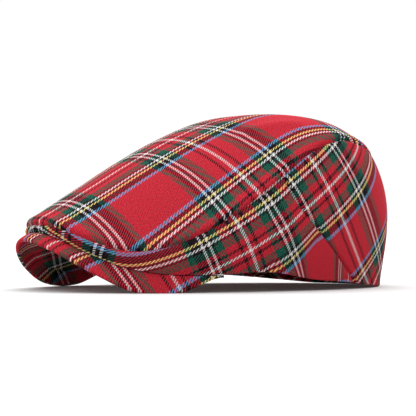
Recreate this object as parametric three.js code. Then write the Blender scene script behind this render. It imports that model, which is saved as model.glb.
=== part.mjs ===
// Flat cap: a soft crown sewn from five cloth panels, over a stiff arched peak.
// Millimetres, +Z up. The front points to -Y and the wearer's left to +X. The cap rests on z = 0,
// on the back of its hem and on the two low sides of the peak.
import * as THREE from 'three';

// Walls and clearances
const CLOTH = 2.0;
const GAP = 0.3;

// Plan ovals: half width along X, half length along Y, and the middle of the length on Y.
// Their front halves are fuller than an ellipse by the given share.
const SEAM_OVAL = { halfWidth: 90, halfLength: 129, middle: -1 };
const HEM_OVAL = { halfWidth: 87, halfLength: 131.5, middle: 3.5 };
const FRONT_FULLNESS = 0.1;

// Heights round the crown, by turn in degrees from the front centre to the back centre.
// hem: lower edge of the side. seam: edge of the top panel. ridge: the crown on its centre line,
// level with that seam point. bulge: how far the side swells outwards. fullness: power of the curve
// from the ridge down to the seam, higher where the top is flatter and its edge rounder.
const CROWN_STEP = 15;
const CROWN_ROWS = [
  { turn: 0, hem: 38.5, seam: 44.5, ridge: 44.5, bulge: 0, fullness: 2.2 },
  { turn: 15, hem: 34.5, seam: 43.3, ridge: 50.5, bulge: 0.5, fullness: 2.2 },
  { turn: 30, hem: 24.5, seam: 37, ridge: 58.5, bulge: 1, fullness: 2.2 },
  { turn: 45, hem: 14.8, seam: 28.5, ridge: 71, bulge: 1.5, fullness: 2.1 },
  { turn: 60, hem: 10.8, seam: 32, ridge: 87, bulge: 2.5, fullness: 2.1 },
  { turn: 75, hem: 10.8, seam: 46.5, ridge: 103.5, bulge: 4, fullness: 2.1 },
  { turn: 90, hem: 12, seam: 67.5, ridge: 116.5, bulge: 6, fullness: 2.4 },
  { turn: 105, hem: 7, seam: 92, ridge: 122, bulge: 7.5, fullness: 3.8 },
  { turn: 120, hem: 4.5, seam: 103, ridge: 118.5, bulge: 8.3, fullness: 5.5 },
  { turn: 135, hem: 2, seam: 100, ridge: 109, bulge: 8.3, fullness: 5.5 },
  { turn: 150, hem: 0, seam: 93, ridge: 98, bulge: 8.3, fullness: 5 },
  { turn: 165, hem: 0, seam: 89, ridge: 92, bulge: 8.3, fullness: 4 },
  { turn: 180, hem: 0, seam: 88, ridge: 88, bulge: 8.3, fullness: 3 },
];
// Power that moves the widest part of the bulge above the middle of the side
const BULGE_LIFT = 1.35;

// The slanted seam between side and back panel: degrees of turn at its two ends, and how strongly
// it bends to the rear towards the hem
const SIDE_SEAM = { atHem: 126, atTop: 96, bend: 2.2 };

// The peak, by turn. ledge: how far its edge stands out from the hem. edge: height of its upper edge.
// board: thickness, which thins out where the ends are sewn under the hem.
const PEAK_STEP = 15;
const PEAK_ROWS = [
  { turn: 0, ledge: 8.5, edge: 33.5, board: 3 },
  { turn: 15, ledge: 8, edge: 28.2, board: 3 },
  { turn: 30, ledge: 7.2, edge: 15.6, board: 3 },
  { turn: 45, ledge: 6.2, edge: 3.2, board: 3 },
  { turn: 60, ledge: 4.4, edge: 1.2, board: 2.6 },
  { turn: 75, ledge: 0.6, edge: 10.2, board: 1.2 },
];
const PEAK_END = 75;
// How far the ledge swells above a straight slope, as a share of its depth
const LEDGE_SWELL = 0.1;
// The arc of the peak's inner edge, round the front of the head opening
const HEAD_ARC = { halfWidth: 78, depth: 53, middle: -30, rise: 5 };

// Mesh steps
const TURN_STEP = 4;
const CROWN_RINGS = 11;
const RING_CROWDING = 1.5;
const BAND_RISES = 6;
const PEAK_TURN_STEPS = 38;

const rad = THREE.MathUtils.degToRad;
const lerp = THREE.MathUtils.lerp;
const vec = (x, y, z) => new THREE.Vector3(x, y, z);

// Smooth value of a table column at any turn; the tables mirror about their first and last rows.
function rowValue(rows, step, column, turn) {
  const last = rows.length - 1;
  const place = Math.min(Math.abs(THREE.MathUtils.euclideanModulo(turn + 180, 360) - 180) / step, last);
  const start = Math.min(Math.floor(place), last - 1);
  const at = (k) => rows[k > last ? 2 * last - k : Math.abs(k)][column];
  const [a, b, c, d] = [at(start - 1), at(start), at(start + 1), at(start + 2)];
  const f = place - start;
  return b + 0.5 * f * (c - a + f * (2 * a - 5 * b + 4 * c - d + f * (3 * (b - c) + d - a)));
}

const crown = (column, turn) => rowValue(CROWN_ROWS, CROWN_STEP, column, turn);
const peak = (column, turn) => rowValue(PEAK_ROWS, PEAK_STEP, column, turn);
// The hem, flattened where it rests on the floor
const hemHeight = (turn) => Math.max(crown('hem', turn), 0);

function ovalPoint(oval, turn, z) {
  const [side, front] = [Math.sin(rad(turn)), Math.cos(rad(turn))];
  const fullness = 1 + FRONT_FULLNESS * Math.max(front, 0) ** 2;
  return vec(oval.halfWidth * side * fullness, oval.middle - oval.halfLength * front, z);
}

// Level unit vector pointing out of an oval
function outward(oval, turn) {
  const along = ovalPoint(oval, turn + 1, 0).sub(ovalPoint(oval, turn - 1, 0));
  return vec(along.y, -along.x, 0).normalize();
}

// Outer face of the side, from the hem (rise 0) up to the top panel's seam (rise 1)
function sidePoint(turn, rise) {
  const low = ovalPoint(HEM_OVAL, turn, hemHeight(turn));
  const high = ovalPoint(SEAM_OVAL, turn, crown('seam', turn));
  const lifted = rise ** BULGE_LIFT;
  const swell = crown('bulge', turn) * 4 * lifted * (1 - lifted);
  return low.lerp(high, rise).addScaledVector(outward(HEM_OVAL, turn), swell);
}

// Outer face of the top panel: reach 0 is the middle of the panel and reach 1 its seam
function topPoint(turn, reach) {
  const front = reach * Math.cos(rad(turn));
  const width = Math.sqrt(Math.max(1 - front * front, 0));
  const across = width > 0 ? (reach * Math.sin(rad(turn))) / width : 0;
  const section = THREE.MathUtils.radToDeg(Math.acos(front));
  const seam = crown('seam', section);
  const lift = (crown('ridge', section) - seam) * (1 - Math.abs(across) ** crown('fullness', section));
  const rim = ovalPoint(SEAM_OVAL, section, seam);
  return vec(rim.x * across, rim.y, seam + lift);
}

// Unit normal where a surface meets the top panel's seam, its second parameter being 1 there
function normalAtSeam(surface, turn) {
  const justInside = 0.98;
  const round = surface(turn + 1, 1).sub(surface(turn - 1, 1));
  const towardsSeam = surface(turn, 1).sub(surface(turn, justInside));
  return round.cross(towardsSeam).normalize();
}

// From the outer to the inner end of the mitred joint between the side and the top panel
function seamInset(turn) {
  const side = normalAtSeam(sidePoint, turn);
  const top = normalAtSeam(topPoint, turn).negate();
  const mitre = side.clone().add(top).normalize();
  return mitre.multiplyScalar(-CLOTH / mitre.dot(side));
}

// A sheet is a list of points and a list of triangles whose fronts face outwards.
function gridSheet(columns, rows, pointAt) {
  const points = [];
  const triangles = [];
  for (let i = 0; i <= columns; i += 1) {
    for (let j = 0; j <= rows; j += 1) {
      points.push(pointAt(i / columns, j / rows));
      if (i > 0 && j > 0) {
        const here = points.length - 1;
        const left = here - rows - 1;
        triangles.push([left - 1, here - 1, here], [left - 1, here, left]);
      }
    }
  }
  return { points, triangles };
}

function discSheet(sectors, rings, pointAt) {
  const points = [pointAt(0, 0)];
  const triangles = [];
  const index = (ring, sector) => 1 + (ring - 1) * sectors + (sector % sectors);
  for (let ring = 1; ring <= rings; ring += 1) {
    for (let sector = 0; sector < sectors; sector += 1) {
      points.push(pointAt(ring / rings, sector / sectors));
      const [near, far] = [index(ring, sector), index(ring, sector + 1)];
      if (ring === 1) {
        triangles.push([0, near, far]);
      } else {
        const [nearIn, farIn] = [index(ring - 1, sector), index(ring - 1, sector + 1)];
        triangles.push([nearIn, near, far], [nearIn, far, farIn]);
      }
    }
  }
  return { points, triangles };
}

function sheetNormals({ points, triangles }) {
  const normals = points.map(() => vec(0, 0, 0));
  for (const [a, b, c] of triangles) {
    const ab = points[b].clone().sub(points[a]);
    const face = ab.cross(points[c].clone().sub(points[a]));
    [a, b, c].forEach((k) => normals[k].add(face));
  }
  return normals.map((n) => n.normalize());
}

// Closed wall between a sheet and its copy moved by the inset vectors
function wall({ points, triangles }, insets) {
  const count = points.length;
  const inner = points.map((p, k) => p.clone().add(insets[k]));
  const faces = [];
  const rim = new Map();
  for (const [a, b, c] of triangles) {
    faces.push(a, b, c, a + count, c + count, b + count);
    for (const [from, to] of [[a, b], [b, c], [c, a]]) {
      if (!rim.delete(`${to} ${from}`)) rim.set(`${from} ${to}`, [from, to]);
    }
  }
  for (const [from, to] of rim.values()) {
    faces.push(from, from + count, to + count, from, to + count, to);
  }
  const geometry = new THREE.BufferGeometry();
  const corners = [...points, ...inner].flatMap((p) => p.toArray());
  geometry.setAttribute('position', new THREE.Float32BufferAttribute(corners, 3));
  geometry.setIndex(faces);
  geometry.computeVertexNormals();
  return geometry;
}

// A side or back panel between two seams, given as degrees of turn for each rise
function sidePanel(columns, fromTurn, toTurn) {
  const halfGapTurn = THREE.MathUtils.radToDeg(GAP / 2 / HEM_OVAL.halfWidth);
  const turnAt = (u, rise) => lerp(fromTurn(rise) + halfGapTurn, toTurn(rise) - halfGapTurn, u);
  const sheet = gridSheet(columns, BAND_RISES, (u, v) => {
    const turn = turnAt(u, v);
    const height = crown('seam', turn) - hemHeight(turn);
    return sidePoint(turn, Math.min(v, 1 - GAP / 2 / height));
  });
  const insets = sheetNormals(sheet).map((normal, k) => {
    const column = Math.floor(k / (BAND_RISES + 1));
    const rise = (k % (BAND_RISES + 1)) / BAND_RISES;
    const turn = turnAt(column / columns, rise);
    if (rise === 0) return outward(HEM_OVAL, turn).multiplyScalar(-CLOTH);
    return rise === 1 ? seamInset(turn) : normal.multiplyScalar(-CLOTH);
  });
  return wall(sheet, insets);
}

function topPanel() {
  const sectors = 360 / TURN_STEP;
  const rimReach = 1 - GAP / 2 / SEAM_OVAL.halfWidth;
  const sheet = discSheet(sectors, CROWN_RINGS, (ring, sector) => {
    const reach = 1 - (1 - ring) ** RING_CROWDING;
    return topPoint(sector * 360, Math.min(reach, rimReach));
  });
  const rimStart = sheet.points.length - sectors;
  const insets = sheetNormals(sheet).map((normal, k) =>
    k < rimStart ? normal.multiplyScalar(-CLOTH) : seamInset((k - rimStart) * TURN_STEP));
  return wall(sheet, insets);
}

// Lines of the peak's upper face, from its outer edge in to the head opening
function peakLines(turn) {
  const rest = hemHeight(turn) - GAP;
  const out = outward(HEM_OVAL, turn);
  const onHem = (distance, z) => ovalPoint(HEM_OVAL, turn, z).addScaledVector(out, distance);
  const swing = rad((turn * 90) / PEAK_END);
  const inner = vec(
    HEAD_ARC.halfWidth * Math.sin(swing),
    HEAD_ARC.middle - HEAD_ARC.depth * Math.cos(swing),
    rest + HEAD_ARC.rise * Math.cos(swing),
  );
  const edge = onHem(peak('ledge', turn), peak('edge', turn));
  const underStrip = onHem(0, rest);
  const behindStrip = onHem(-CLOTH - GAP, rest);
  const edgeMiddle = edge.clone().lerp(underStrip, 0.5);
  edgeMiddle.z += LEDGE_SWELL * peak('ledge', turn);
  return [edge, edgeMiddle, underStrip, behindStrip, behindStrip.clone().lerp(inner, 0.5), inner];
}

function peakBoard() {
  const lines = peakLines(0).length - 1;
  const sheet = gridSheet(PEAK_TURN_STEPS, lines, (u, v) =>
    peakLines(lerp(-PEAK_END, PEAK_END, u))[Math.round(v * lines)]);
  const insets = sheetNormals(sheet).map((normal, k) => {
    const turn = lerp(-PEAK_END, PEAK_END, Math.floor(k / (lines + 1)) / PEAK_TURN_STEPS);
    const inset = normal.multiplyScalar(-peak('board', turn));
    // The board is flattened where it rests on the floor.
    inset.z = Math.max(inset.z, -sheet.points[k].z);
    return inset;
  });
  return wall(sheet, insets);
}

const sideSeam = (rise) => lerp(SIDE_SEAM.atTop, SIDE_SEAM.atHem, (1 - rise) ** SIDE_SEAM.bend);
const sideColumns = SIDE_SEAM.atTop / TURN_STEP;
const backColumns = (180 - SIDE_SEAM.atTop) / TURN_STEP;

const group = new THREE.Group();

function addCloth(name, colour, geometry) {
  const material = new THREE.MeshStandardMaterial({ color: colour, roughness: 0.9, metalness: 0 });
  const mesh = new THREE.Mesh(geometry, material);
  mesh.name = name;
  group.add(mesh);
}

addCloth('top_panel', '#b81c2c', topPanel());
addCloth('side_panel_left', '#8e1a26', sidePanel(sideColumns, () => 0, sideSeam));
addCloth('side_panel_right', '#8e1a26', sidePanel(sideColumns, (rise) => -sideSeam(rise), () => 0));
addCloth('back_panel_left', '#a01c28', sidePanel(backColumns, sideSeam, () => 180));
addCloth('back_panel_right', '#a01c28', sidePanel(backColumns, () => -180, (rise) => -sideSeam(rise)));
addCloth('peak', '#9c1a28', peakBoard());

export default group;
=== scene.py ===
"""Flat cap in red tartan: sewn cloth panels over a stiff arched peak, resting on a pale floor."""
import math

import bpy
import numpy as np
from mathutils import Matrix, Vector


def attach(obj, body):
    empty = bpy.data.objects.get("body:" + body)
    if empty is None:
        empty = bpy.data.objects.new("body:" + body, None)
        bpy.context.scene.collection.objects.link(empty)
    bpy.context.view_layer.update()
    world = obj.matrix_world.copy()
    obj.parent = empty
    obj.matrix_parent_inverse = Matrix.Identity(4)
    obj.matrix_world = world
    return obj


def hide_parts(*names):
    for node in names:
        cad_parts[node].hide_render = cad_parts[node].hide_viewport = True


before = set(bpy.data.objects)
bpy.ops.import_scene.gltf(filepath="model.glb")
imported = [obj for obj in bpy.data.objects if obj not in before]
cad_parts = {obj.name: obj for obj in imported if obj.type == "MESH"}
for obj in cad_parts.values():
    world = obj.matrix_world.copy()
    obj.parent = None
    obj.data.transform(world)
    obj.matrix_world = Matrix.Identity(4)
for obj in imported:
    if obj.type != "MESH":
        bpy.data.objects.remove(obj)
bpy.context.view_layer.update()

# Sizes are in millimetres and are turned into metres when a mesh is made. A turn is an angle round the
# cap in degrees: 0 at the front centre, 180 at the back centre, positive on the wearer's left.
MM = 0.001
TINY = 1e-9

# Plan ovals of the crown, the same as the solids have
SEAM_OVAL = {"half_width": 90, "half_length": 129, "middle": -1}
HEM_OVAL = {"half_width": 87, "half_length": 131.5, "middle": 3.5}
FRONT_FULLNESS = 0.1

# Rows round the crown: heights of the hem, of the upper seam and of the ridge level with that seam point,
# how far the side swells out, and the power of the curve from the ridge down to the seam
CROWN_COLUMNS = ("turn", "hem", "seam", "ridge", "bulge", "fullness")
CROWN_ROWS = [
    (0, 38.5, 44.5, 44.5, 0, 2.2),
    (15, 34.5, 43.3, 50.5, 0.5, 2.2),
    (30, 24.5, 35.8, 58.5, 1, 2.2),
    (45, 14.8, 28.5, 71, 1.5, 2.1),
    (60, 10.8, 32, 87, 2.5, 2.1),
    (75, 10.8, 46.5, 103.5, 4, 2.1),
    (90, 12, 67.5, 116.5, 6, 2.4),
    (105, 7, 92, 122, 7.5, 3.8),
    (120, 4.5, 103, 118.5, 8.3, 5.5),
    (135, 2, 100, 109, 8.3, 5.5),
    (150, 0, 93, 98, 8.3, 5),
    (165, 0, 89, 92, 8.3, 4),
    (180, 0, 88, 88, 8.3, 3),
]
# Above 1, the side is fullest above its middle.
BULGE_LIFT = 1.35
# Turns of the seam between side and back panel, and the power of its bend
SIDE_SEAM = {"at_hem": 126, "at_top": 96, "bend": 2.2}

# Rows round the peak: how far its rim stands out past the hem, the rim's height and the board's thickness
PEAK_COLUMNS = ("turn", "ledge", "edge", "board")
PEAK_ROWS = [
    (0, 10.5, 35.8, 3),
    (15, 10, 29.5, 3),
    (30, 8.7, 15.8, 3),
    (45, 7, 3.5, 3),
    (60, 4.8, 1.8, 2.6),
    (75, 0.6, 11.2, 1.2),
]
PEAK_END = 75
# The rim slopes down a little to the left, and its heights there are moved back by a few degrees.
PEAK_ROLL = 0.01
PEAK_TWIST = {"turn": 2.6, "end": 60}
# How high the ledge swells between hem and rim, as a part of its width
LEDGE_SWELL = 0.1
# How far the peak's upper face is tucked up into the hem
PEAK_TUCK = 0.6
# Inner edge of the peak, round the brow
HEAD_ARC = {"half_width": 78, "depth": 53, "middle": -30, "rise": 5}
# The upper cloth turns round the board's edges and stops just short of the lower cloth: by a length at
# the rim, and by a part of a mesh step at the inner edge.
RIM_GAP = 0.05
INNER_GAP = 0.02

# Cloth, seams and hem
CLOTH = 1.6
SEAM_DIP = {"depth": 2, "width": 1.3}
HEM_THICKNESS = 2.6
HEM_FOLD = 5
HEM_ROLL_ROWS = 5
# The top panel puffs up a little beside its seam and dips at it.
TOP_PUFF = {"from_seam": 4, "width": 4}
TOP_DIP = {"depth": 2.1, "width": 1.2}
# A soft crease in the top panel: where its ridge runs, seen from above, and its size
CREASE = {"start": (50, 6), "end": (64, 36), "height": 1.5, "width": 5}

# Stripes of the cloth: yarn and width. The lengthwise ones run from front to back.
LENGTH_SETT = [
    ("red", 35.5), ("blue", 2.6), ("black", 5), ("yellow", 1.9), ("black", 2), ("white", 1.8),
    ("black", 2), ("green", 5.2), ("red", 4.2), ("black", 2), ("red", 2.7), ("white", 2),
    ("red", 2.7), ("black", 2), ("red", 4.2), ("green", 5.2), ("black", 2), ("white", 1.8),
    ("black", 2), ("yellow", 1.9), ("black", 3), ("blue", 2.6),
]
CROSS_SETT = [
    ("red", 41), ("green", 3.8), ("black", 6.2), ("white", 1.8), ("black", 2.6), ("white", 1.9),
    ("black", 2), ("green", 5.2), ("red", 8), ("black", 2.1), ("red", 3.3), ("white", 2.1),
    ("red", 3.3), ("black", 2.1), ("red", 8), ("green", 5.2), ("black", 2), ("white", 1.9),
    ("black", 2.6), ("white", 1.8), ("black", 3.4), ("green", 3.8),
]
# Number of the stripe in the middle of the group, in both lists, counted from 0
PIVOT = 11
# Colours of the yarns
YARNS = {
    "red": (0.395, 0.016, 0.028),
    "black": (0.006, 0.004, 0.006),
    "green": (0.006, 0.068, 0.045),
    "blue": (0.10, 0.25, 0.46),
    "yellow": (0.66, 0.53, 0.17),
    "white": (0.62, 0.61, 0.60),
}

# Twill: width of a yarn each way, yarns in one diagonal, how sharply warp gives way to weft, and the
# painted shade that darkens the weft to stand for the shadow in the grooves between the twill's ridges
WARP_PITCH = 0.45
WEFT_PITCH = 0.68
TWILL_YARNS = 4
WALE_SHARPNESS = 3
WEFT_PAINTED_SHADE = 0.8
WALE_BUMP = {"strength": 0.5, "height_m": 0.0003}

# Wool: how uneven its shade is, and the pale nap, pale fibres and a painted sheen off them, that covers a
# part of it
UNEVEN = 1.3
NAP_AND_SHEEN = {"colour": (0.62, 0.36, 0.38, 1), "size": 0.9, "cover": 0.3, "start": 0.56}
CLOTH_ROUGHNESS = 0.85
CLOTH_SPECULAR = 0.03

# Side panels: where the middle of the stripes lies, and how far they slide from there, by turn. The lean
# goes forward at the upper seam, is nothing at its depth below it, and goes back further down.
SIDE_PIVOT = {"along_seam": 155, "below_seam": 26}
SIDE_COLUMNS = ("turn", "down", "back", "lean")
SIDE_SLIDE = [
    (0, -7, 9, 0),
    (15, 0, 8, 0),
    (30, 5.4, 4, 0),
    (45, 6.2, 0, 0),
    (60, 2.4, 0, 0),
    (75, 0.6, 0, 1),
    (90, 1, 0, 3),
    (105, 1.5, 0, 3.2),
    (120, 8, 0, 2),
    (135, 14, 0, 0),
]
LEAN_DEPTH = 22

# How stripes lie on the other panels laid flat: a shift, two slopes and three bends, for each 100 mm
BACK_LIE = {"lengthwise": (-57, -50, 89, 5, -6, 9), "crosswise": (-43.5, -84.5, -56.5, -18, 1.5, 16)}
TOP_LIE = {"lengthwise": (15.5, -119, 1, -14, 10, -4), "crosswise": (-43, 41.5, -112.5, 20, -21, -4)}
PEAK_LIE = {"lengthwise": (28.5, 98.5, -5, 1.5, 7, -8.5), "crosswise": (49.5, -18.5, -94.5, 0, 0, 0)}
UNDER_LIE = {"lengthwise": (61, -109, -51, 25, 23, 2), "crosswise": (46.5, 37, -97, 0, 0, 0)}
LIE_UNIT = 100
# Width, in that unit, over which the bends of one-sided stripes fade out past the middle
BEND_FADE = 0.2

# Points each way in the coarse grids that are laid flat, and in the meshes
TOP_GRID = (60, 13)
BACK_GRID = (30, 26)
PEAK_GRID = (41, 17)
TOP_MESH = (400, 80)
SIDE_MESH = (240, 44)
BACK_MESH = (110, 90)
PEAK_MESH = (200, 36)
PEAK_RIM_ROWS = 7
# Points along the upper seam when its length is measured, from front to back
SEAM_POINTS = 721
# Powers that draw the top panel's rings together towards its seam
REACH_POWER = 1.3
RING_POWER = 1.4
# How strongly the points of the sides and backs are drawn together towards their edges
CROWDING = 0.75

FLOOR = {"half_m": 20, "colour": (0.55, 0.55, 0.55, 1), "roughness": 0.9, "specular": 0.1}
# A faint glow keeps the shadow on the floor from going black.
FLOOR_GLOW = {"colour": (1, 0.8, 0.77, 1), "strength": 0.03}
SKY_STRENGTH = 1.02
LIGHT = {"way": (0.34, -0.12, -1), "spread": 100, "strength": 4.1, "height_m": 1.5}
# The camera looks along its azimuth, aimed a little to the right and up.
CAMERA = {"azimuth": 62, "distance_m": 1.35, "height_m": 0.05, "lens": 165.9, "sensor": 36}
CAMERA_AIM = {"right": 0.00172, "up": 0.0045}


# Surfaces of the cap

def row_value(rows, columns, name, turn):
    """Smooth value of a table column at any turn; tables mirror about their first and last rows."""
    values = np.array([row[columns.index(name)] for row in rows], float)
    step = rows[1][0] - rows[0][0]
    last = len(rows) - 1
    place = np.minimum(np.abs((np.asarray(turn, float) + 180) % 360 - 180) / step, last)
    start = np.minimum(np.floor(place).astype(int), last - 1)
    f = place - start

    def at(k):
        k = np.abs(k)
        return values[np.where(k > last, 2 * last - k, k)]

    a, b, c, d = at(start - 1), at(start), at(start + 1), at(start + 2)
    return b + 0.5 * f * (c - a + f * (2 * a - 5 * b + 4 * c - d + f * (3 * (b - c) + d - a)))


def crown(name, turn):
    value = row_value(CROWN_ROWS, CROWN_COLUMNS, name, turn)
    return np.maximum(value, 0) if name == "hem" else value


def peak(name, turn):
    return row_value(PEAK_ROWS, PEAK_COLUMNS, name, turn)


def oval_point(oval, turn, z):
    t = np.radians(turn)
    fullness = 1 + FRONT_FULLNESS * np.maximum(np.cos(t), 0) ** 2
    x = oval["half_width"] * np.sin(t) * fullness
    y = oval["middle"] - oval["half_length"] * np.cos(t)
    return np.stack(np.broadcast_arrays(x, y, z), -1)


def outward(oval, turn):
    """Level unit vectors that point straight out of an oval."""
    along = oval_point(oval, turn + 1, 0.0) - oval_point(oval, turn - 1, 0.0)
    way = np.stack([along[..., 1], -along[..., 0], 0 * along[..., 0]], -1)
    return unit(way)


def side_point(turn, rise):
    """Point of the side at a turn; rise runs from 0 at the hem to 1 at the upper seam."""
    low = oval_point(HEM_OVAL, turn, crown("hem", turn))
    high = oval_point(SEAM_OVAL, turn, crown("seam", turn))
    lifted = rise ** BULGE_LIFT
    swell = crown("bulge", turn) * 4 * lifted * (1 - lifted)
    return low + (high - low) * rise[..., None] + outward(HEM_OVAL, turn) * swell[..., None]


def top_point(turn, reach):
    """Point of the top at a turn; reach runs from 0 at its middle to 1 at its seam."""
    front = reach * np.cos(np.radians(turn))
    width = np.sqrt(np.maximum(1 - front ** 2, TINY))
    across = np.clip(reach * np.sin(np.radians(turn)) / width, -1, 1)
    section = np.degrees(np.arccos(np.clip(front, -1, 1)))
    seam = crown("seam", section)
    lift = (crown("ridge", section) - seam) * (1 - np.abs(across) ** crown("fullness", section))
    rim = oval_point(SEAM_OVAL, section, seam)
    return np.stack([rim[..., 0] * across, rim[..., 1], seam + lift], -1)


def peak_point(turn, place):
    """Upper face of the peak; place runs from 0 at its inner edge, by 0.5 under the hem, to 1 at its rim."""
    rest = crown("hem", turn) + PEAK_TUCK
    ledge, board = peak("ledge", turn), peak("board", turn)
    twist = PEAK_TWIST["turn"] * np.sin(math.pi * np.clip(turn / PEAK_TWIST["end"], 0, 1))
    edge = peak("edge", turn - twist)
    swing = np.radians(turn * 90 / PEAK_END)
    inner = np.stack([
        HEAD_ARC["half_width"] * np.sin(swing),
        HEAD_ARC["middle"] - HEAD_ARC["depth"] * np.cos(swing),
        rest + HEAD_ARC["rise"] * np.cos(swing),
    ], -1)
    under_hem = oval_point(HEM_OVAL, turn, rest)
    rim = oval_point(HEM_OVAL, turn, edge) + outward(HEM_OVAL, turn) * (ledge - board / 2)[..., None]
    rim[..., 2] -= PEAK_ROLL * rim[..., 0]
    inward = np.clip(1 - 2 * place, 0, 1)
    onward = np.clip(2 * place - 1, 0, 1)
    point = under_hem + (inner - under_hem) * inward[..., None] + (rim - under_hem) * onward[..., None]
    point[..., 2] += LEDGE_SWELL * ledge * 4 * onward * (1 - onward)
    return point


def front_centre(rise):
    return 0 * rise


def side_seam(rise):
    drop = (1 - rise) ** SIDE_SEAM["bend"]
    return SIDE_SEAM["at_top"] + (SIDE_SEAM["at_hem"] - SIDE_SEAM["at_top"]) * drop


def back_centre(rise):
    return 180 + 0 * rise


# Turns of a panel's two ends at any rise
SIDE_ENDS = (front_centre, side_seam)
BACK_ENDS = (side_seam, back_centre)


# Grids of points

def unit(vectors):
    return vectors / np.maximum(np.linalg.norm(vectors, axis=-1, keepdims=True), TINY)


def grid_normals(points):
    """Unit normals of a grid of points, along the first direction crossed with the second."""
    return unit(np.cross(np.gradient(points, axis=0), np.gradient(points, axis=1)))


def grid_quads(rows, columns):
    k = np.arange(rows * columns).reshape(rows, columns)
    return np.stack([k[:-1, :-1], k[1:, :-1], k[1:, 1:], k[:-1, 1:]], -1).reshape(-1, 4)


def split_both_ways(quads):
    """Triangles of quads cut along both diagonals, without those that have a corner twice."""
    triangles = np.concatenate([quads[:, pick] for pick in ([0, 1, 2], [0, 2, 3], [0, 1, 3], [1, 2, 3])])
    return triangles[[len(set(triangle)) == 3 for triangle in triangles.tolist()]]


def crowded(count):
    """Steps from 0 to 1, drawn together towards both ends."""
    even = np.linspace(0, 1, count)
    return even - CROWDING * np.sin(2 * math.pi * even) / (2 * math.pi)


def length_along(points, axis):
    """Distance along a grid of points from the first row or column."""
    steps = np.linalg.norm(np.diff(points, axis=axis), axis=-1)
    start = np.zeros_like(np.take(steps, [0], axis=axis))
    return np.concatenate([start, np.cumsum(steps, axis=axis)], axis=axis)


def distance_to(points, line):
    """Distance of each point of a grid from the nearest point of a line."""
    apart = np.linalg.norm(points[..., None, :] - line, axis=-1)
    return apart.min(axis=-1)


def hump(distance, width):
    """Smooth hump, 1 high in its middle."""
    return np.exp(-(distance / width) ** 2)


def cubic_weights(count, places):
    """Matrix that spreads count evenly spaced values smoothly over places from 0 to 1."""
    place = np.asarray(places, float) * (count - 1)
    fine = len(place)
    start = np.clip(np.floor(place).astype(int), 0, count - 2)
    f = place - start
    weights = np.zeros((fine, count + 2))
    cubic = (
        -f / 2 + f ** 2 - f ** 3 / 2,
        1 - 5 * f ** 2 / 2 + 3 * f ** 3 / 2,
        f / 2 + 2 * f ** 2 - 3 * f ** 3 / 2,
        -f ** 2 / 2 + f ** 3 / 2,
    )
    for k, weight in enumerate(cubic):
        weights[np.arange(fine), start + k] += weight
    # The values run on straight beyond both ends.
    inner = weights[:, 1:-1]
    inner[:, 0] += 2 * weights[:, 0]
    inner[:, 1] -= weights[:, 0]
    inner[:, -1] += 2 * weights[:, -1]
    inner[:, -2] -= weights[:, -1]
    return inner


def spread(coarse, first, second):
    """Values of a coarse grid at the given places along its first and second direction."""
    rows, columns = coarse.shape[:2]
    return np.einsum("ia,abk,jb->ijk", cubic_weights(rows, first), coarse, cubic_weights(columns, second))


def flatten(points, triangles, start, rounds=150, smallest=1e-6):
    """Lay a curved sheet flat with as little stretch as can be: points (n, 3) from start (n, 2)."""
    corner = points[triangles]
    e1, e2 = corner[:, 1] - corner[:, 0], corner[:, 2] - corner[:, 0]
    base = np.linalg.norm(e1, axis=1)
    twice_area = np.linalg.norm(np.cross(e1, e2), axis=1)
    whole = twice_area > smallest
    triangles, e1, e2, base, twice_area = (a[whole] for a in (triangles, e1, e2, base, twice_area))
    flat = np.zeros((len(triangles), 3, 2))
    flat[:, 1, 0] = base
    flat[:, 2, 0] = (e1 * e2).sum(1) / base
    flat[:, 2, 1] = twice_area / base
    count = len(points)
    # The even part of the matrix holds the sheet's middle in place.
    stiffness = np.full((count, count), 1 / count)
    sides = []
    for a, b, c in ((0, 1, 2), (1, 2, 0), (2, 0, 1)):
        weight = ((flat[:, a] - flat[:, c]) * (flat[:, b] - flat[:, c])).sum(1) / twice_area / 2
        i, j = triangles[:, a], triangles[:, b]
        for row, column, sign in ((i, i, 1), (j, j, 1), (i, j, -1), (j, i, -1)):
            np.add.at(stiffness, (row, column), sign * weight)
        sides.append((i, j, weight[:, None] * (flat[:, a] - flat[:, b])))
    solve = np.linalg.inv(stiffness)
    laid = start - start.mean(0)
    for _ in range(rounds):
        # Each triangle is turned to fit where its corners lie now, and then all are joined up again.
        cosine = np.zeros(len(triangles))
        sine = np.zeros(len(triangles))
        for i, j, side in sides:
            now = laid[i] - laid[j]
            cosine += (side * now).sum(1)
            sine += side[:, 0] * now[:, 1] - side[:, 1] * now[:, 0]
        length = np.hypot(cosine, sine)
        cosine, sine = cosine / length, sine / length
        pull = np.zeros((count, 2))
        for i, j, side in sides:
            turned = np.stack(
                [cosine * side[:, 0] - sine * side[:, 1], sine * side[:, 0] + cosine * side[:, 1]], 1)
            np.add.at(pull, i, turned)
            np.add.at(pull, j, -turned)
        laid = solve @ pull
    return laid


def flatten_grid(points, start):
    """Lay a grid of points flat, from a start of the same shape."""
    rows, columns = points.shape[:2]
    triangles = split_both_ways(grid_quads(rows, columns))
    return flatten(points.reshape(-1, 3), triangles, start.reshape(-1, 2)).reshape(rows, columns, 2)


# Cloth coordinates

def sett_place(sett, index):
    """Distance from the start of a sett to the middle of one of its stripes."""
    widths = [width for _, width in sett]
    return sum(widths[:index]) + widths[index] / 2


LENGTH_PIVOT = sett_place(LENGTH_SETT, PIVOT)
CROSS_PIVOT = sett_place(CROSS_SETT, PIVOT)


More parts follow.
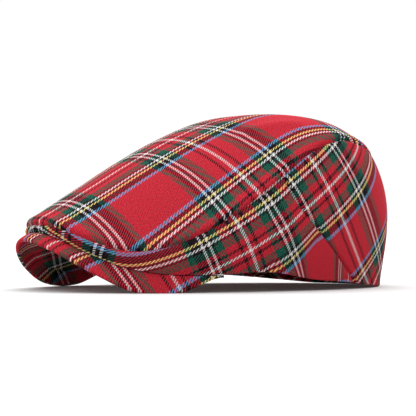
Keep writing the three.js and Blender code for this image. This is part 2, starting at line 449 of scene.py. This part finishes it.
def lay_stripes(flat, lie, one_sided=False):
    """Cloth coordinates of places on a panel laid flat, by how its stripes lie on it.

    One-sided stripes bend on the left half only.
    """
    x, y = flat[..., 0] / LIE_UNIT, flat[..., 1] / LIE_UNIT
    bend = (x + np.hypot(x, BEND_FADE)) / 2 if one_sided else x
    one = np.ones_like(x)
    lengthwise = np.stack([one, x, y, bend * y, bend ** 2, y ** 2], -1) @ lie["lengthwise"]
    crosswise = np.stack([one, bend, y, bend * y, bend ** 2, y ** 2], -1) @ lie["crosswise"]
    return np.stack([LENGTH_PIVOT + lengthwise, CROSS_PIVOT + crosswise], -1)


def band_places(ends, along, up):
    """Turn and rise over a panel between two ends, above the middle of its rolled hem."""
    first, last = ends
    even = np.broadcast_to(up, (len(along), len(up)))
    middle = first(even) + (last(even) - first(even)) * along[:, None]
    height = np.linalg.norm(side_point(middle, np.ones_like(even)) - side_point(middle, 0 * even), axis=-1)
    start = HEM_THICKNESS / 2 / height
    return middle, start + (1 - start) * even


def side_cloth(along, up):
    """Cloth coordinates of the side panel, laid off from its upper seam as a straight line."""
    turn, rise = band_places(SIDE_ENDS, along, up)
    fine = np.linspace(0, 180, SEAM_POINTS)
    run = np.interp(turn, fine, length_along(side_point(fine, np.ones_like(fine)), 0))
    seam = np.ones_like(turn)
    ahead = unit(side_point(turn + 0.5, seam) - side_point(turn - 0.5, seam))
    parts = 10
    steps = np.stack([side_point(turn, 1 + (rise - 1) * k / parts) for k in range(parts + 1)])
    down = np.linalg.norm(np.diff(steps, axis=0), axis=-1).sum(0)
    lean = (unit(steps[-1] - steps[0]) * ahead).sum(-1)
    depth = down * np.sqrt(np.maximum(1 - lean ** 2, 0))
    slide = {name: row_value(SIDE_SLIDE, SIDE_COLUMNS, name, turn) for name in SIDE_COLUMNS[1:]}
    skew = slide["lean"] * np.clip(depth / LEAN_DEPTH - 1, -1, 1)
    below = depth - SIDE_PIVOT["below_seam"] - slide["down"]
    behind = run + down * lean - SIDE_PIVOT["along_seam"] + slide["back"] + skew
    return np.stack([LENGTH_PIVOT + below, CROSS_PIVOT + behind], -1)


def back_cloth(along, up):
    """Cloth coordinates of the back panel, laid flat and turned to the run of its stripes."""
    columns, rows = BACK_GRID
    turn, rise = band_places(BACK_ENDS, np.linspace(0, 1, columns), np.linspace(0, 1, rows))
    points = side_point(turn, rise)
    start = np.stack([length_along(points, 0).mean(1)[:, None] + 0 * rise, points[..., 2]], -1)
    laid = flatten_grid(points, start)
    laid = laid - laid[columns // 2, rows // 2]
    return lay_stripes(spread(laid, along, up), BACK_LIE)


def top_reach(place):
    return 1 - (1 - place) ** REACH_POWER


def top_cloth(sectors, places):
    """Cloth coordinates of the top panel, laid flat."""
    coarse, rings = TOP_GRID
    turn = np.arange(coarse) * 360 / coarse
    reach = top_reach(np.linspace(0, 1, rings))
    points = top_point(*np.broadcast_arrays(turn[None, :], reach[:, None]))
    index = np.arange((rings - 1) * coarse).reshape(rings - 1, coarse) + 1
    index = np.concatenate([np.zeros((1, coarse), int), index])
    onward = np.roll(index, -1, axis=1)
    quads = np.stack([index[:-1], index[1:], onward[1:], onward[:-1]], -1).reshape(-1, 4)
    flat_points = np.concatenate([points[0, :1], points[1:].reshape(-1, 3)])
    laid = flatten(flat_points, split_both_ways(quads), flat_points[:, :2])
    laid = (laid - laid[0])[index]
    # A few sectors are repeated past both ends, so that the values run on smoothly all round.
    extra = 3
    wrapped = np.concatenate([laid[:, -extra:], laid, laid[:, :extra + 1]], axis=1)
    turns = (np.arange(sectors) * coarse / sectors + extra) / (coarse + 2 * extra)
    return lay_stripes(spread(wrapped, places, turns).swapaxes(0, 1), TOP_LIE, one_sided=True)


def peak_flat(turns, places):
    """Places of the peak's upper face when it is laid flat."""
    columns, rows = PEAK_GRID
    turn = np.linspace(-PEAK_END, PEAK_END, columns)
    points = peak_point(*np.broadcast_arrays(turn[:, None], np.linspace(0, 1, rows)))
    laid = flatten_grid(points, points[..., :2] * (-1, 1))
    return spread(laid - laid[columns // 2, -1], turns, places)


# Meshes of the panels

def make_piece(name, points, faces, cloth, mirrored=False):
    """Mesh object of points in millimetres, with the cloth's own coordinates as a map."""
    points = points * (-1, 1, 1) if mirrored else points
    faces = [face[::-1] for face in faces] if mirrored else faces
    mesh = bpy.data.meshes.new(name)
    mesh.from_pydata((points * MM).tolist(), [], faces)
    layer = mesh.uv_layers.new(name="cloth")
    corner = np.empty(len(mesh.loops), int)
    mesh.loops.foreach_get("vertex_index", corner)
    layer.data.foreach_set("uv", cloth[corner].astype(np.float32).ravel())
    mesh.polygons.foreach_set("use_smooth", np.ones(len(mesh.polygons), bool))
    obj = bpy.data.objects.new(name, mesh)
    bpy.context.scene.collection.objects.link(obj)
    return obj


def loop_faces(columns, ring):
    """Quads of a tube of columns that each close on themselves."""
    k = np.arange(columns * ring).reshape(columns, ring)
    onward = np.roll(k, -1, axis=1)
    return np.stack([k[:-1], k[1:], onward[1:], onward[:-1]], -1).reshape(-1, 4).tolist()


def seam_dip(distance):
    return -SEAM_DIP["depth"] * hump(distance, SEAM_DIP["width"])


def crease_rise(points):
    """How far the crease lifts each point of the top panel."""
    start, end = np.array(CREASE["start"]), np.array(CREASE["end"])
    part = np.clip((points[..., :2] - start) @ (end - start) / np.sum((end - start) ** 2), 0, 1)
    away = np.linalg.norm(points[..., :2] - start - part[..., None] * (end - start), axis=-1)
    return CREASE["height"] * hump(away, CREASE["width"])


def build_band(name, ends, size, cloth_of, mirrored):
    """Side or back panel: a closed shell, dipped at its seams, with a rounded hem."""
    columns, rows = size
    along, up = crowded(columns), crowded(rows)
    base = side_point(*band_places(ends, along, up))
    normal = grid_normals(base)
    cloth = cloth_of(along, up)
    from_hem = length_along(base, 1)
    offset = seam_dip(from_hem[:, -1:] - from_hem)
    for end in (0, -1):
        offset = offset + seam_dip(distance_to(base, base[end]))
    thick = CLOTH + (HEM_THICKNESS - CLOTH) * hump(from_hem, HEM_FOLD)
    outer = base + normal * offset[..., None]
    inner = outer - normal * thick[..., None]

    middle = (outer[:, 0] + inner[:, 0]) / 2
    radius = thick[:, :1] / 2
    down = base[:, 0] - base[:, 2]
    step = np.linalg.norm(down, axis=-1, keepdims=True)
    slope = (cloth[:, 0] - cloth[:, 2]) / step
    rolled, rolled_cloth = [], []
    for k in range(1, HEM_ROLL_ROWS + 1):
        angle = math.pi * (1 - k / (HEM_ROLL_ROWS + 1))
        below = math.sin(angle) * radius
        rolled.append(middle + normal[:, 0] * math.cos(angle) * radius + down / step * below)
        rolled_cloth.append(cloth[:, 0] + slope * below)

    ring = np.concatenate([outer, inner[:, ::-1], np.stack(rolled, 1)], 1)
    ring_cloth = np.concatenate([cloth, cloth[:, ::-1], np.stack(rolled_cloth, 1)], 1)
    ring[..., 2] = np.maximum(ring[..., 2], 0)
    around = ring.shape[1]
    faces = loop_faces(columns, around)
    for column, order in ((0, 1), (columns - 1, -1)):
        first = column * around
        under = first + 2 * rows - 1
        for j in range(rows - 1):
            faces.append([first + j, first + j + 1, under - j - 1, under - j][::order])
        faces.append([first, *range(under, first + around)][::order])
    if mirrored:
        ring_cloth = ring_cloth * (1, -1) + (0, 2 * CROSS_PIVOT)
    return make_piece(name, ring.reshape(-1, 3), faces, ring_cloth.reshape(-1, 2), mirrored)


def build_top(name, size):
    """Top panel: a closed shell of rings round its middle."""
    sectors, rings = size
    place = 1 - (1 - np.linspace(0, 1, rings)) ** RING_POWER
    turn = np.arange(sectors) * 360 / sectors
    base = top_point(*np.broadcast_arrays(turn[:, None], top_reach(place)[None, :]))
    wrapped = np.concatenate([base[-1:], base, base[:1]])
    normal = -grid_normals(wrapped)[1:-1]
    normal[:, 0] = unit(normal[:, 1].mean(0))
    from_middle = length_along(base, 1)
    from_rim = from_middle[:, -1:] - from_middle
    puff = hump(from_rim - TOP_PUFF["from_seam"], TOP_PUFF["width"])
    dip = TOP_DIP["depth"] * hump(from_rim, TOP_DIP["width"])
    outer = base + normal * (puff - dip + crease_rise(base))[..., None]
    inner = outer - normal * CLOTH
    cloth = top_cloth(sectors, place)

    points = [outer[0, :1], inner[0, :1], outer[:, 1:].reshape(-1, 3), inner[:, 1:].reshape(-1, 3)]
    maps = [cloth[0, :1], cloth[0, :1], cloth[:, 1:].reshape(-1, 2), cloth[:, 1:].reshape(-1, 2)]
    rows = rings - 1
    upper = 2 + np.arange(sectors * rows).reshape(sectors, rows)
    lower = upper + sectors * rows
    next_upper, next_lower = np.roll(upper, -1, axis=0), np.roll(lower, -1, axis=0)
    outside = np.stack([upper[:, :-1], upper[:, 1:], next_upper[:, 1:], next_upper[:, :-1]], -1)
    inside = np.stack([lower[:, :-1], next_lower[:, :-1], next_lower[:, 1:], lower[:, 1:]], -1)
    edge = np.stack([upper[:, -1], lower[:, -1], next_lower[:, -1], next_upper[:, -1]], -1)
    faces = np.concatenate([outside.reshape(-1, 4), inside.reshape(-1, 4), edge]).tolist()
    faces += [[0, int(a), int(b)] for a, b in zip(upper[:, 0], next_upper[:, 0])]
    faces += [[1, int(b), int(a)] for a, b in zip(lower[:, 0], next_lower[:, 0])]
    return make_piece(name, np.concatenate(points), faces, np.concatenate(maps))


def build_peak(name, size, rim_rows):
    """Peak: a board with a round rim, and cloth of its own on the upper and the lower face."""
    columns, rows = size
    turns, places = np.linspace(0, 1, columns), np.linspace(0, 1, rows)
    turn = PEAK_END * (2 * turns - 1)
    upper = peak_point(*np.broadcast_arrays(turn[:, None], places))
    normal = -grid_normals(upper)
    board = peak("board", turn)[:, None, None]
    lower = upper - normal * board
    middle = (upper[:, -1] + lower[:, -1]) / 2
    out = unit(upper[:, -1] - upper[:, -2])
    half = board[:, 0] / 2
    rim = []
    for k in range(1, rim_rows + 1):
        angle = math.pi * k / (rim_rows + 1)
        rim.append(middle + normal[:, -1] * math.cos(angle) * half + out * math.sin(angle) * half)
    rim.append(lower[:, -1] + out * RIM_GAP)
    inner_end = lower[:, :1] - (upper[:, 1:2] - upper[:, :1]) * INNER_GAP

    flat = peak_flat(turns, places)
    above, below = lay_stripes(flat, PEAK_LIE), lay_stripes(flat, UNDER_LIE)
    edge = np.repeat(above[:, -1:], rim_rows + 1, axis=1)
    ring = np.concatenate([upper, np.stack(rim, 1), lower[:, ::-1], inner_end], 1)
    ring_cloth = np.concatenate([above, edge, below[:, ::-1], above[:, :1]], 1)
    ring[..., 2] = np.maximum(ring[..., 2], 0)
    around = ring.shape[1]
    faces = [face[::-1] for face in loop_faces(columns, around)]
    for column, order in ((0, -1), (columns - 1, 1)):
        first = column * around
        under = first + 2 * rows + rim_rows
        for j in range(rows - 1):
            faces.append([first + j, first + j + 1, under - j - 1, under - j][::order])
        faces.append([first + k for k in range(rows - 1, rows + rim_rows + 2)][::order])
        faces.append([first, under, under + 1][::order])
    return make_piece(name, ring.reshape(-1, 3), faces, ring_cloth.reshape(-1, 2))


# Tartan cloth

def fill(tree, socket, value):
    """Link a socket to another one, or give it a value."""
    if isinstance(value, bpy.types.NodeSocket):
        tree.links.new(value, socket)
    else:
        socket.default_value = value


def node(tree, kind, *inputs, **settings):
    made = tree.nodes.new(kind)
    for key, value in settings.items():
        setattr(made, key, value)
    for socket, value in zip(made.inputs, inputs):
        fill(tree, socket, value)
    return made


def calculate(tree, operation, *inputs):
    return node(tree, "ShaderNodeMath", *inputs, operation=operation).outputs[0]


def mix_colours(tree, factor, first, second):
    made = node(tree, "ShaderNodeMix", factor, data_type="RGBA")
    colours = [socket for socket in made.inputs if socket.type == "RGBA"]
    for socket, value in zip(colours, (first, second)):
        fill(tree, socket, value)
    return next(socket for socket in made.outputs if socket.type == "RGBA")


def stripes(tree, place, sett, shade):
    """Square root of the yarn's colour, darkened by a painted shade factor, at a place across a repeating
    sett.
    """
    whole = sum(width for _, width in sett)
    part = calculate(tree, "FRACT", calculate(tree, "DIVIDE", place, whole))
    made = node(tree, "ShaderNodeValToRGB", part)
    ramp = made.color_ramp
    ramp.interpolation = "CONSTANT"
    start = 0
    for k, (yarn, width) in enumerate(sett):
        stop = ramp.elements[k] if k < 2 else ramp.elements.new(start / whole)
        stop.position = start / whole
        stop.color = (*(math.sqrt(channel * shade) for channel in YARNS[yarn]), 1)
        start += width
    return made.outputs[0]


def tartan_cloth():
    material = bpy.data.materials.new("tartan")
    material.use_nodes = True
    tree = material.node_tree
    tree.nodes.clear()
    spot = node(tree, "ShaderNodeUVMap", uv_map="cloth").outputs[0]
    parts = node(tree, "ShaderNodeSeparateXYZ", spot)
    across, along = parts.outputs[0], parts.outputs[1]

    # Warp and weft take turns along the ridges of the twill.
    warp = stripes(tree, across, LENGTH_SETT, 1)
    # The weft is darkened by painted shade, which stands for the shadow in the grooves between the twill's
    # ridges.
    weft = stripes(tree, along, CROSS_SETT, WEFT_PAINTED_SHADE)
    warp_part = calculate(tree, "DIVIDE", across, TWILL_YARNS * WARP_PITCH)
    weft_part = calculate(tree, "DIVIDE", along, TWILL_YARNS * WEFT_PITCH)
    ridge = calculate(tree, "PINGPONG", calculate(tree, "ADD", warp_part, weft_part), 0.5)
    lift = calculate(tree, "MULTIPLY_ADD", ridge, WALE_SHARPNESS, 0.5 - WALE_SHARPNESS / 4)
    on_top = node(tree, "ShaderNodeClamp", lift).outputs[0]
    root = mix_colours(tree, on_top, weft, warp)
    colour = node(tree, "ShaderNodeVectorMath", root, root, operation="MULTIPLY").outputs[0]

    # The wool's shade is uneven, and pale fibres with a painted sheen off them cover a part of it.
    fibres = node(tree, "ShaderNodeTexNoise", spot, noise_dimensions="2D")
    fibres.inputs["Scale"].default_value = 1 / NAP_AND_SHEEN["size"]
    fibres.inputs["Detail"].default_value = 1
    channels = node(tree, "ShaderNodeSeparateColor", fibres.outputs["Color"])
    shade = calculate(tree, "MULTIPLY_ADD", channels.outputs[0], UNEVEN, 1 - UNEVEN / 2)
    uneven = node(tree, "ShaderNodeVectorMath", colour, operation="SCALE")
    fill(tree, uneven.inputs["Scale"], shade)
    cover = calculate(tree, "MULTIPLY_ADD", channels.outputs[1], NAP_AND_SHEEN["cover"], -NAP_AND_SHEEN["cover"] * NAP_AND_SHEEN["start"])
    with_nap_and_sheen = mix_colours(tree, cover, uneven.outputs[0], NAP_AND_SHEEN["colour"])

    bump = node(tree, "ShaderNodeBump")
    bump.inputs["Strength"].default_value = WALE_BUMP["strength"]
    bump.inputs["Distance"].default_value = WALE_BUMP["height_m"]
    fill(tree, bump.inputs["Height"], ridge)
    shader = node(tree, "ShaderNodeBsdfPrincipled")
    shader.inputs["Roughness"].default_value = CLOTH_ROUGHNESS
    shader.inputs["Specular IOR Level"].default_value = CLOTH_SPECULAR
    fill(tree, shader.inputs["Base Color"], with_nap_and_sheen)
    fill(tree, shader.inputs["Normal"], bump.outputs[0])
    node(tree, "ShaderNodeOutputMaterial", shader.outputs[0])
    return material


# Floor, light and camera

def plain_white():
    material = bpy.data.materials.new("floor_white")
    material.use_nodes = True
    shader = material.node_tree.nodes["Principled BSDF"]
    shader.inputs["Base Color"].default_value = FLOOR["colour"]
    shader.inputs["Emission Color"].default_value = FLOOR_GLOW["colour"]
    shader.inputs["Emission Strength"].default_value = FLOOR_GLOW["strength"]
    shader.inputs["Roughness"].default_value = FLOOR["roughness"]
    shader.inputs["Specular IOR Level"].default_value = FLOOR["specular"]
    return material


def add_floor():
    half = FLOOR["half_m"]
    corners = [(-half, -half, 0), (half, -half, 0), (half, half, 0), (-half, half, 0)]
    mesh = bpy.data.meshes.new("floor")
    mesh.from_pydata(corners, [], [(0, 1, 2, 3)])
    mesh.materials.append(plain_white())
    floor = bpy.data.objects.new("floor", mesh)
    bpy.context.scene.collection.objects.link(floor)


def add_sky():
    world = bpy.data.worlds.new("studio")
    world.use_nodes = True
    background = world.node_tree.nodes["Background"]
    background.inputs["Color"].default_value = (1, 1, 1, 1)
    background.inputs["Strength"].default_value = SKY_STRENGTH
    bpy.context.scene.world = world


def add_light():
    """Very wide, even light from overhead."""
    data = bpy.data.lights.new("overhead", "SUN")
    data.angle = math.radians(LIGHT["spread"])
    data.energy = LIGHT["strength"]
    light = bpy.data.objects.new("overhead", data)
    light.location = (0, 0, LIGHT["height_m"])
    light.rotation_euler = Vector(LIGHT["way"]).to_track_quat("-Z", "Y").to_euler()
    bpy.context.scene.collection.objects.link(light)


def add_camera():
    azimuth = math.radians(CAMERA["azimuth"])
    right = Vector((math.cos(azimuth), math.sin(azimuth), 0))
    forward = Vector((-math.sin(azimuth), math.cos(azimuth), 0))
    data = bpy.data.cameras.new("camera")
    data.lens = CAMERA["lens"]
    data.sensor_width = CAMERA["sensor"]
    camera = bpy.data.objects.new("camera", data)
    camera.location = -CAMERA["distance_m"] * forward + Vector((0, 0, CAMERA["height_m"]))
    look = forward + CAMERA_AIM["right"] * right + Vector((0, 0, CAMERA_AIM["up"]))
    camera.rotation_euler = look.to_track_quat("-Z", "Y").to_euler()
    bpy.context.scene.collection.objects.link(camera)
    bpy.context.scene.camera = camera


# Assembly

tartan = tartan_cloth()
pieces = {"top_panel": build_top("cap_top_panel", TOP_MESH)}
bands = (("side", SIDE_ENDS, SIDE_MESH, side_cloth), ("back", BACK_ENDS, BACK_MESH, back_cloth))
for kind, ends, size, cloth_of in bands:
    for hand, mirrored in (("left", False), ("right", True)):
        part = f"{kind}_panel_{hand}"
        pieces[part] = build_band(f"cap_{part}", ends, size, cloth_of, mirrored)
pieces["peak"] = build_peak("cap_peak", PEAK_MESH, PEAK_RIM_ROWS)

for part, piece in pieces.items():
    piece.data.materials.append(tartan)
    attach(piece, "root")
    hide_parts(part)
    kind = part.split("_")[0]

add_floor()
add_sky()
add_light()
add_camera()
bpy.context.scene.view_settings.view_transform = "Standard"
